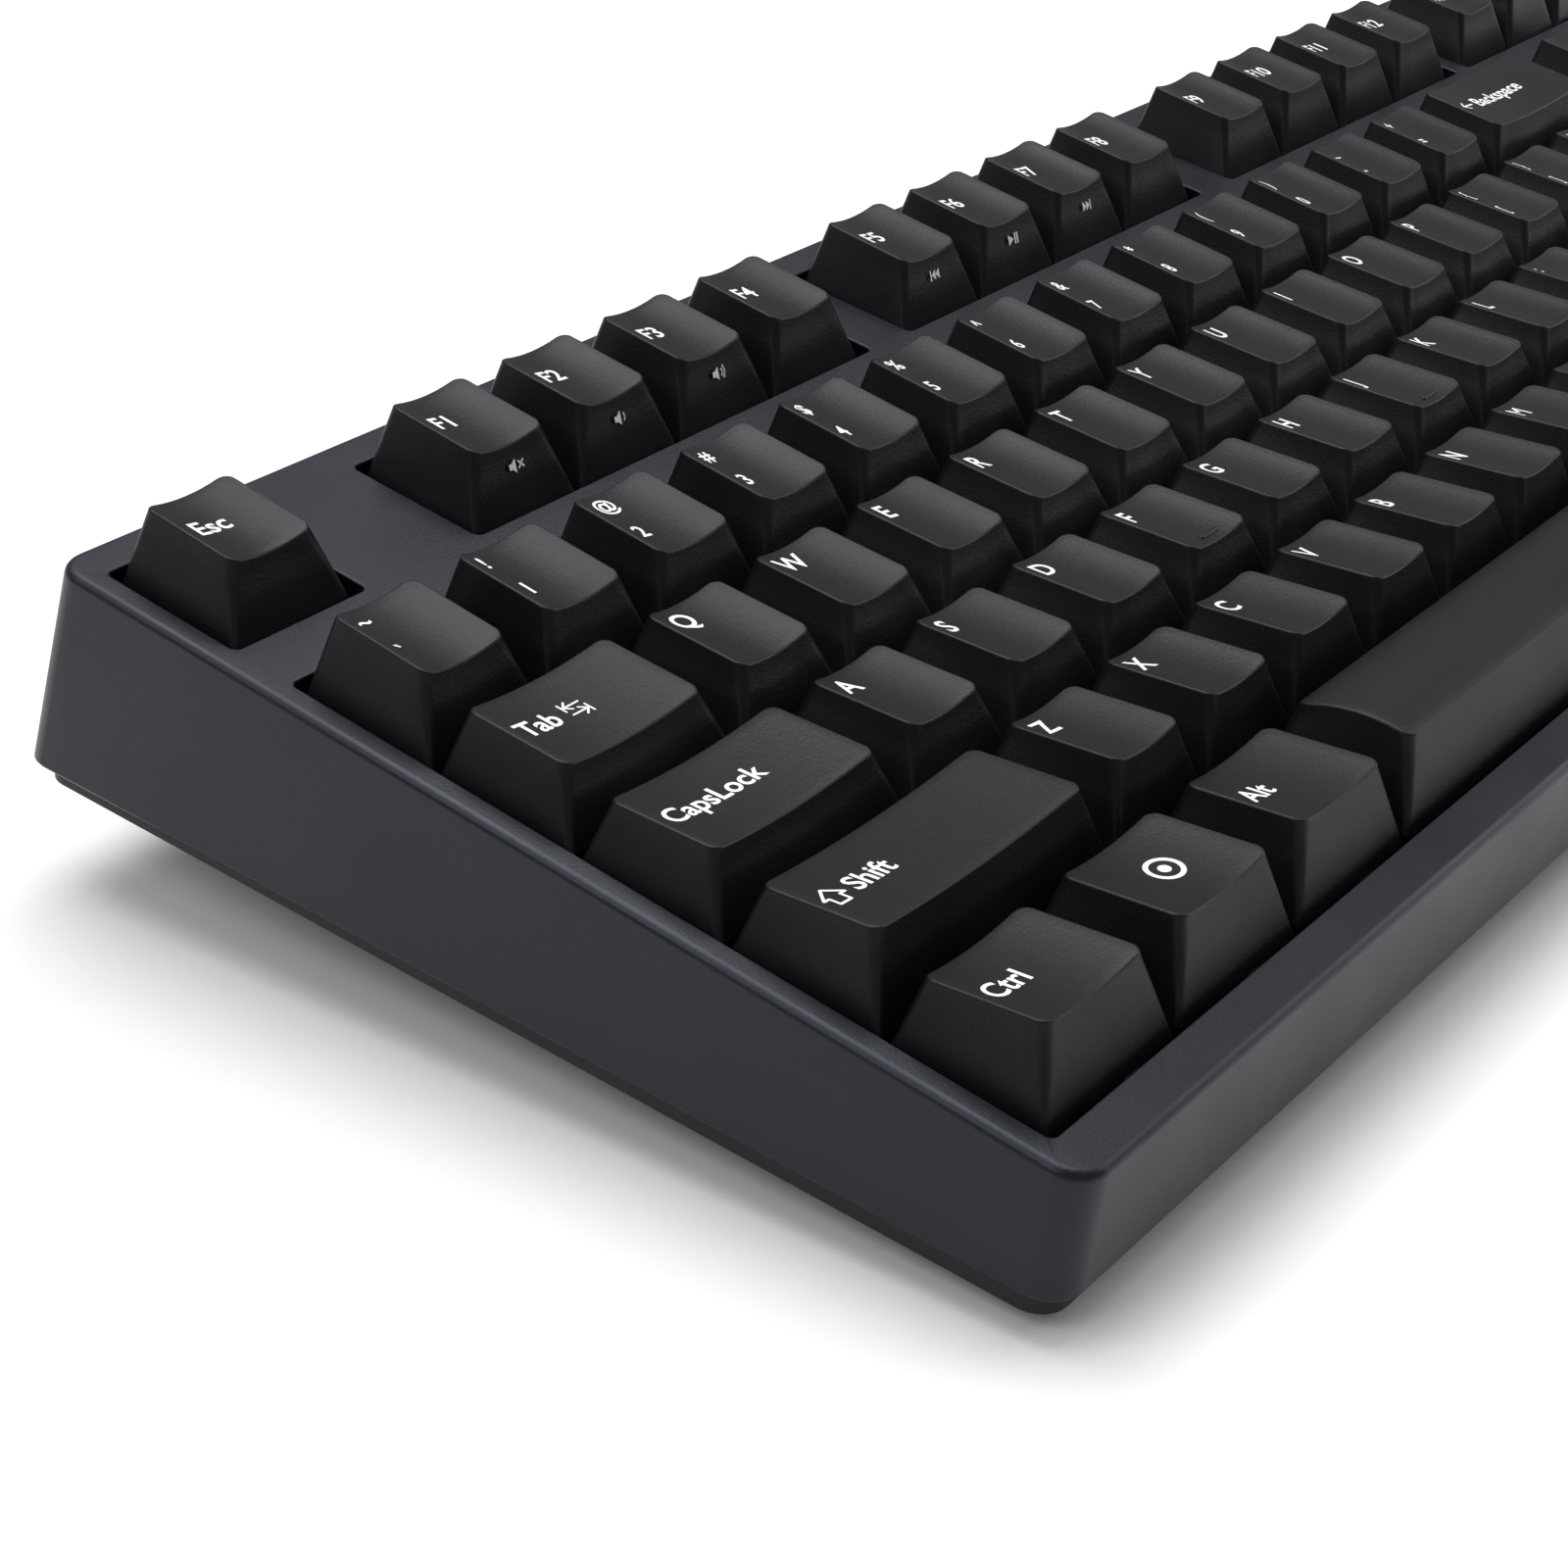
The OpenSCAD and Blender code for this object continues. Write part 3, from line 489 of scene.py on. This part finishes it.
def speaker(waves, muted=False):
    """A loudspeaker with sound waves, or with a cross when it is muted."""
    loops = [[(-1.5, -0.45), (-0.9, -0.45), (-0.1, -1.1), (-0.1, 1.1), (-0.9, 0.45), (-1.5, 0.45)]]
    for i in range(waves):
        r = 0.75 + 0.6 * i
        loops += stroke([(0.05 + r * math.cos(math.radians(q)), r * math.sin(math.radians(q)))
                         for q in (-42, -21, 0, 21, 42)], 0.3)
    if muted:
        loops += stroke([(0.5, -0.5), (1.5, 0.5)], 0.3) + stroke([(0.5, 0.5), (1.5, -0.5)], 0.3)
    return loops


# signs on the front faces of function keys, by legend
MEDIA = {
    "F1": speaker(0, True),
    "F2": speaker(1),
    "F3": speaker(2),
    "F5": [[(-1.6, -0.9), (-1.6, 0.9), (-1.25, 0.9), (-1.25, -0.9)],
           [(-1.2, 0), (-0.1, 0.9), (-0.1, -0.9)],
           [(-0.1, 0), (1.0, 0.9), (1.0, -0.9)]],
    "F6": [[(-1.4, -0.95), (-1.4, 0.95), (0.1, 0)],
           [(0.4, -0.95), (0.4, 0.95), (0.8, 0.95), (0.8, -0.95)],
           [(1.1, -0.95), (1.1, 0.95), (1.5, 0.95), (1.5, -0.95)]],
    "F7": [[(1.6, -0.9), (1.6, 0.9), (1.25, 0.9), (1.25, -0.9)],
           [(1.2, 0), (0.1, -0.9), (0.1, 0.9)],
           [(0.1, 0), (-1.0, -0.9), (-1.0, 0.9)]],
}

# sizes of single letters, of the two signs on a digit or mark key, and of words
LETTER, DIGIT, WORD = 4.1, 3.3, 3.75
# upper and lower sign
SIGNS = {
    "grave": ("~", "`"), "1": ("!", "1"), "2": ("@", "2"), "3": ("#", "3"), "4": ("$", "4"),
    "5": ("%", "5"), "6": ("^", "6"), "7": ("&", "7"), "8": ("*", "8"), "9": ("(", "9"),
    "0": (")", "0"), "minus": ("_", "-"), "equals": ("+", "="), "left_bracket": ("{", "["),
    "right_bracket": ("}", "]"), "backslash": ("|", "\\"), "semicolon": (":", ";"),
    "quote": ('"', "'"), "comma": ("<", ","), "period": (">", "."), "slash": ("?", "/"),
}
WORDS = {
    "escape": "Esc", "caps_lock": "CapsLock", "left_ctrl": "Ctrl", "left_alt": "Alt",
    "right_alt": "Alt", "fn": "Fn", "right_ctrl": "Ctrl", "prtsc": "PrtSc", "scrlk": "ScrLk",
    "pause": "Pause", "insert": "Ins", "home": "Home", "pgup": "PgUp", "delete": "Del",
    "end": "End", "pgdn": "PgDn",
}


def legend_parts(name, width):
    """(flat mesh, x, y) pieces of a key's legend, on the top face."""
    left = -width * U / 2 + TOP_IN + 1.25
    if len(name) == 1 and name.isalpha():
        return [(text_mesh(name.upper(), LETTER), left, 4.15)]
    if name[0] == "f" and name[1:].isdigit():
        return [(text_mesh(name.upper(), WORD), left, 1.4)]
    if name in SIGNS:
        upper_sign, lower_sign = SIGNS[name]
        return [(text_mesh(upper_sign, DIGIT), left, 4.9), (text_mesh(lower_sign, DIGIT), left, -1.2)]
    if name in WORDS:
        size = WORD if len(WORDS[name]) < 5 or width > 1.5 else 3.0
        return [(text_mesh(WORDS[name], size), left, 1.0)]
    if name == "tab":
        return [(text_mesh("Tab", WORD), left, 1.0), (polygon_mesh(tab_loops()), left + 8.6, 2.2)]
    if name in ("left_shift", "right_shift"):
        return [(polygon_mesh(shift_loops(1.15)), left + 1.7, 2.0),
                (text_mesh("Shift", WORD), left + 4.4, 1.0)]
    if name == "backspace":
        return [(polygon_mesh(arrow(-1, 0, 1.2)), left + 1.7, 2.2),
                (text_mesh("Backspace", WORD), left + 4.4, 1.0)]
    if name == "enter":
        return [(polygon_mesh(enter_loops()), left + 1.6, 2.2),
                (text_mesh("Enter", WORD), left + 4.4, 1.0)]
    if name == "left_mark":
        return [(polygon_mesh(move(mark_loops(), 0, 0, 1.6)), 0.0, 1.8)]
    if name == "menu":
        return [(polygon_mesh(menu_loops()), 0.0, 1.8)]
    if name in ("up", "down", "left", "right"):
        d = {"up": (0, 1), "down": (0, -1), "left": (-1, 0), "right": (1, 0)}[name]
        return [(polygon_mesh(arrow(*d, 1.2)), 0.0, 1.8)]
    return []


# ---------------------------------------------------------------- key table
# every key: name, column, row, width, node
KEYS = []


def line(row, start, names_widths, node=None):
    """Adds keys side by side; they share a node, or have one each when none is given."""
    col = start
    for name, width in names_widths:
        KEYS.append((name, col, row, width, node or own(name)))
        col += width


def own(name):
    """The node of a key that has one of its own."""
    return "key_" + {"left_mark": "left_menu_mark"}.get(name, name)


line(5, 0, [("escape", 1)])
line(5, 2, [("f1", 1), ("f2", 1), ("f3", 1), ("f4", 1)])
line(5, 6.5, [("f5", 1), ("f6", 1), ("f7", 1), ("f8", 1)], "keys_f5_to_f12")
line(5, 11, [("f9", 1), ("f10", 1), ("f11", 1), ("f12", 1)], "keys_f5_to_f12")
line(4, 0, [("grave", 1)] + [(c, 1) for c in "12345"])
line(4, 6, [(c, 1) for c in "67890"] + [("minus", 1), ("equals", 1)], "keys_6_to_equals")
line(4, 13, [("backspace", 2)])
line(3, 0, [("tab", 1.5)] + [(c, 1) for c in "qwert"])
line(3, 6.5, [(c, 1) for c in "yuiop"] + [("left_bracket", 1), ("right_bracket", 1), ("backslash", 1.5)],
     "keys_y_to_backslash")
line(2, 0, [("caps_lock", 1.75)] + [(c, 1) for c in "asdfg"])
line(2, 6.75, [(c, 1) for c in "hjkl"] + [("semicolon", 1), ("quote", 1)], "keys_h_to_quote")
line(2, 12.75, [("enter", 2.25)])
line(1, 0, [("left_shift", 2.25)] + [(c, 1) for c in "zxcvb"])
line(1, 7.25, [("n", 1), ("m", 1), ("comma", 1), ("period", 1), ("slash", 1)], "keys_n_to_slash")
line(1, 12.25, [("right_shift", 2.75)])
line(0, 0, [("left_ctrl", 1.25), ("left_mark", 1.25), ("left_alt", 1.25), ("space", 6.25)])
line(0, 10, [("right_alt", 1.25), ("fn", 1.25), ("menu", 1.25), ("right_ctrl", 1.25)],
     "keys_right_modifiers")
line(5, 15.25, [("prtsc", 1), ("scrlk", 1), ("pause", 1)], "keys_navigation")
line(4, 15.25, [("insert", 1), ("home", 1), ("pgup", 1)], "keys_navigation")
line(3, 15.25, [("delete", 1), ("end", 1), ("pgdn", 1)], "keys_navigation")
line(1, 16.25, [("up", 1)], "keys_arrows")
line(0, 15.25, [("left", 1), ("down", 1), ("right", 1)], "keys_arrows")

SHAPES = {}


def join(verts, faces, more_verts, more_faces):
    """Adds points and faces to the lists of a mesh."""
    base = len(verts)
    verts += more_verts
    faces += [tuple(i + base for i in f) for f in more_faces]


def build_legend(name, row, width, height, at):
    """The printed legend of a key, as thin prints just over the cap, or None."""
    verts, faces = [], []
    for (pts, tris), x, y in legend_parts(name, width):
        lifted = [(px + x, py + y, height(px + x, py + y) + 0.025) for px, py in pts]
        join(verts, faces, lifted, tris)
    if name.upper() in MEDIA and row == 5:
        pts, tris = polygon_mesh(move(MEDIA[name.upper()], 0, 0, 0.8))
        f = CAP_FRONT[row] - TOP_FILLET
        span = math.hypot(f - SKIRT_W, V0 + SKIRT_V)
        on_front = []
        for px, py in pts:
            t = (py + 6.5) / span
            on_front.append((px, -SKIRT_V + (V0 + SKIRT_V) * t - 0.05,
                             SKIRT_W + (f - SKIRT_W) * t + 0.02))
        join(verts, faces, on_front, tris)
    if not verts:
        return None
    me = bpy.data.meshes.new("legend_" + name)
    me.from_pydata([at @ Vector(v) for v in verts], [], faces)
    me.materials.append(INK)
    ob = bpy.data.objects.new("legend_" + name, me)
    bpy.context.scene.collection.objects.link(ob)
    return ob


def build_key(name, col, row, width, node):
    """One keycap with its stems and slider, and its legend."""
    cx, cy = (col + width / 2) * U, row_v(row) + U / 2
    if (width, row) not in SHAPES:
        SHAPES[(width, row)] = cap_shape(width, row)
    verts, faces = SHAPES[(width, row)]
    verts, faces = list(verts), list(faces)
    height = top_height(width, row)
    stems = [0]
    if width >= 6:
        stems += [-50, 50]
    elif width >= 2:
        stems += [-11.9, 11.9]
    parts = slider()
    for x in stems:
        parts += stem(x)
        if x:
            parts += stabilizer_legs(x)
    if name in ("f", "j"):
        parts.append(bump_bar(-2.0, 2.0, -3.3, height))
    for part_verts, part_faces in parts:
        join(verts, faces, part_verts, part_faces)
    at = DECK @ Matrix.Translation((cx, cy, 0))
    ob = make("cap_" + name, verts, faces, CAP, 34, at, 0.000002)
    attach(ob, node)
    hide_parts(node)
    legend = build_legend(name, row, width, height, at)
    if legend:
        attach(legend, node)


for k in KEYS:
    build_key(*k)


# ---------------------------------------------------------------- upper case
def case_ring(inset, w=None, lift=0.0):
    """A ring round the case at depth w, or without w on the sloping lower edge, lifted a little."""
    u0, u1, v0, v1 = BODY
    r = CASE_CORNER
    base = rounded(u0 + inset, u1 - inset, v0 + inset, v1 - inset, max(r - inset, 0.6), 14, 12, 8)
    out = []
    for x, y in base:
        sx = 1 if x > u1 - r - inset else (-1 if x < u0 + r + inset else 0)
        sy = 1 if y > v1 - r - inset else (-1 if y < v0 + r + inset else 0)
        gx = sx * LEAN
        gy = sy * LEAN
        depth = (LIP_W - WEDGE * y + lift) / (1 - WEDGE * gy) if w is None else w
        out.append((x - gx * depth, y - gy * depth, depth))
    return out


def fill_between(bm, loops):
    """Fills the flat area between an outer loop and the loops inside it."""
    edges = []
    for loop in loops:
        for i in range(len(loop)):
            a, b = loop[i], loop[(i + 1) % len(loop)]
            e = bm.edges.get((a, b)) or bm.edges.new((a, b))
            edges.append(e)
    bmesh.ops.triangle_fill(bm, use_beauty=True, use_dissolve=False, edges=edges)


def build_top_case():
    """The upper case: outer skin, rounded wells for the keys, open below."""
    bm = bmesh.new()

    def ring(points):
        return [bm.verts.new(p) for p in points]

    def skin(a, b):
        n = len(a)
        for i in range(n):
            bm.faces.new((a[i], a[(i + 1) % n], b[(i + 1) % n], b[i]))

    edge_radius, wall, roof_w = 1.0, 3.0, -2.5
    rings = []
    for k in range(6):
        q = math.radians(90 * k / 5)
        rings.append(ring(case_ring(edge_radius * (1 - math.sin(q)), -edge_radius * (1 - math.cos(q)))))
    rings.append(ring(case_ring(0.0, -6.0)))
    rings.append(ring(case_ring(0.0, lift=0.35)))
    rings.append(ring(case_ring(0.3)))
    rings.append(ring(case_ring(wall)))
    rings.append(ring(case_ring(wall, roof_w)))
    for a, b in zip(rings, rings[1:]):
        skin(a, b)
    g = 0.4  # gap between a well and the key cells in it
    fv = row_v(5)
    wells = [(0, 1, fv, fv + U), (2, 6, fv, fv + U), (6.5, 10.5, fv, fv + U), (11, 15, fv, fv + U),
             (15.25, 18.25, fv, fv + U), (0, 15, 0, 5 * U), (15.25, 18.25, 3 * U, 5 * U)]
    tops, lows = [], []

    def well_rings(shape):
        made = []
        for d, w in ((0.32, 0.0), (0.15, -0.06), (0.04, -0.18), (0.0, -0.36), (0.0, roof_w)):
            made.append(ring([(x, y, w) for x, y in shape(d)]))
        for a, b in zip(made, made[1:]):
            skin(a, b)
        tops.append(made[0])
        lows.append(made[-1])

    for a, b, v0, v1 in wells:
        well_rings(lambda d: rounded(a * U - g - d, b * U + g + d, v0 - g - d, v1 + g + d,
                                     0.9 + d, 6, 4, 4))

    def tee(d):
        """Outline of the arrow keys' well, an upturned T."""
        e = g + d
        x0, x1, x2, x3 = 15.25 * U - e, 16.25 * U - e, 17.25 * U + e, 18.25 * U + e
        pts = []
        corners = ((x3 - 0.9, -e + 0.9, -90, 90, 0.9), (x3 - 0.9, U + e - 0.9, 0, 90, 0.9),
                   (x2 + 0.5, U + e + 0.5, -90, -90, 0.5), (x2 - 0.9, 2 * U + e - 0.9, 0, 90, 0.9),
                   (x1 + 0.9, 2 * U + e - 0.9, 90, 90, 0.9), (x1 - 0.5, U + e + 0.5, 0, -90, 0.5),
                   (x0 + 0.9, U + e - 0.9, 90, 90, 0.9), (x0 + 0.9, -e + 0.9, 180, 90, 0.9))
        for cx, cy, start, sweep, r in corners:
            for k in range(6):
                q = math.radians(start + sweep * k / 5)
                pts.append((cx + r * math.cos(q), cy + r * math.sin(q)))
        return pts

    well_rings(tee)
    fill_between(bm, [rings[0]] + tops)
    fill_between(bm, [rings[-1]] + lows)
    bmesh.ops.remove_doubles(bm, verts=bm.verts, dist=0.001)
    bmesh.ops.recalc_face_normals(bm, faces=bm.faces)
    me = bpy.data.meshes.new("upper_case")
    bm.to_mesh(me)
    bm.free()
    me.transform(DECK)
    me.materials.append(CASE)
    ob = bpy.data.objects.new("upper_case", me)
    bpy.context.scene.collection.objects.link(ob)
    return ob


def cut(ob, lo, hi, r):
    """Cuts a round-cornered window, given in the deck frame, out of a piece."""
    pts = rounded(lo[0], hi[0], lo[2], hi[2], r, 6, 1, 1)
    n = len(pts)
    verts = [(x, lo[1], z) for x, z in pts] + [(x, hi[1], z) for x, z in pts]
    faces = [tuple(range(n)), tuple(range(n, 2 * n))[::-1]]
    bridge(faces, 0, n, n)
    tool = make("tool", verts, faces, CASE)
    mod = ob.modifiers.new("window", "BOOLEAN")
    mod.operation = "DIFFERENCE"
    mod.solver = "EXACT"
    mod.object = tool
    dg = bpy.context.evaluated_depsgraph_get()
    me = bpy.data.meshes.new_from_object(ob.evaluated_get(dg))
    ob.modifiers.clear()
    ob.data = me
    bpy.data.objects.remove(tool)


upper = build_top_case()
# the window for the plug, round the middle of the socket
USB_HALF_U, USB_HALF_W = 6.2, 3.45
usb_lo, usb_hi = deck_box("usb_socket")
usb_lo, usb_hi = (usb_lo - ORIGIN) * 1000, (usb_hi - ORIGIN) * 1000
usb_u, usb_w = (usb_lo.x + usb_hi.x) / 2, (usb_lo.z + usb_hi.z) / 2
cut(upper, (usb_u - USB_HALF_U, usb_hi.y, usb_w - USB_HALF_W),
    (usb_u + USB_HALF_U, usb_hi.y + 20, usb_w + USB_HALF_W), 1.5)
upper.data.polygons.foreach_set("use_smooth", [True] * len(upper.data.polygons))
upper.data.set_sharp_from_angle(angle=math.radians(28))
mod = upper.modifiers.new("flat_faces", "WEIGHTED_NORMAL")
mod.keep_sharp = True
mod.weight = 100
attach(upper, "case")
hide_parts("top_case")

# ---------------------------------------------------------------- finishes on the CAD nodes
# material and edge rounding, in metres
finishes = {
    "bottom_case": (BASE, 0.00025), "switch_plate": (PLATE, 0), "circuit_board": (BOARD, 0),
    "lower_housings": (HOUSING, 0), "upper_housings": (HOUSING, 0), "switch_springs": (STEEL, 0),
    "switch_contacts": (BRASS, 0), "stabilizer_housings": (HOUSING, 0), "stabilizer_wires": (STEEL, 0),
    "controller_chip": (CHIP, 0), "usb_socket": (STEEL, 0.00015), "case_screws": (SCREW, 0.0001),
    "rubber_feet": (RUBBER, 0.0004), "flip_foot_left": (BASE, 0.0003), "flip_foot_right": (BASE, 0.0003),
}
for name, (finish, bevel) in finishes.items():
    ob = nodes[name]
    ob.data.materials.clear()
    ob.data.materials.append(finish)
    if bevel:
        weld = ob.modifiers.new("weld", "WELD")
        weld.merge_threshold = 0.000001
        mod = ob.modifiers.new("edges", "BEVEL")
        mod.width = bevel
        mod.segments = 2
        mod.limit_method = "ANGLE"
        mod.angle_limit = math.radians(35)

# ---------------------------------------------------------------- floor, light and camera
reach = 6.0
floor_me = bpy.data.meshes.new("floor")
floor_me.from_pydata([(-reach, -reach, 0), (reach, -reach, 0), (reach, reach, 0), (-reach, reach, 0)],
                     [], [(0, 1, 2, 3)])
floor_me.materials.append(FLOOR)
floor = bpy.data.objects.new("floor", floor_me)
bpy.context.scene.collection.objects.link(floor)

world = bpy.data.worlds.new("studio")
bpy.context.scene.world = world
world.use_nodes = True
bg = world.node_tree.nodes["Background"]
bg.inputs["Color"].default_value = (1, 1, 1, 1)
bg.inputs["Strength"].default_value = 0.3


def lamp(name, place, target, width, height, power):
    """A rectangular soft light that faces its target."""
    la = bpy.data.lights.new(name, "AREA")
    la.shape = "RECTANGLE"
    la.size, la.size_y = width, height
    la.energy = power
    ob = bpy.data.objects.new(name, la)
    ob.location = place
    ob.rotation_euler = (Vector(target) - Vector(place)).to_track_quat("-Z", "Y").to_euler()
    bpy.context.scene.collection.objects.link(ob)


lamp("overhead", (0.3, 0.6, 1.9), (0.0, 0.1, 0.0), 1.9, 1.6, 44)
lamp("side_fill", (1.4, -0.7, 1.1), (0.0, 0.0, 0.0), 1.2, 1.2, 9)
lamp("left_fill", (-1.3, 0.5, 1.3), (-0.2, 0.0, 0.0), 1.2, 1.0, 9)
lamp("front_low", (1.1, -0.75, 0.14), (0.0, -0.07, 0.0), 0.8, 0.2, 1.0)

cam_data = bpy.data.cameras.new("camera")
cam = bpy.data.objects.new("camera", cam_data)
bpy.context.scene.collection.objects.link(cam)
# right, down and forward of the camera and its place, in the deck frame and millimetres
RIGHT = Vector((0.61647511, -0.77543677, 0.13658792))
DOWN = Vector((-0.37335989, -0.44062014, -0.81636774))
FORWARD = Vector((0.69322495, 0.45227394, -0.56114834))
PLACE = Vector((-197.140, -87.090, 176.157))
# focal length and centre of the picture, in widths of a 1600 wide frame
FRAME, FOCAL, CENTRE_X, CENTRE_Y = 1600, 3117.6, 733.24, 797.19
look = Matrix((RIGHT, -DOWN, -FORWARD)).transposed().to_4x4()
cam.matrix_world = TURN @ Matrix.Translation(ORIGIN + PLACE * 0.001) @ look
cam_data.sensor_width = 36
cam_data.lens = FOCAL / FRAME * 36
cam_data.shift_x = (FRAME / 2 - CENTRE_X) / FRAME
cam_data.shift_y = (CENTRE_Y - FRAME / 2) / FRAME
cam_data.clip_start = 0.01
cam_data.clip_end = 50
bpy.context.scene.camera = cam

view = bpy.context.scene.view_settings
view.view_transform = "Standard"
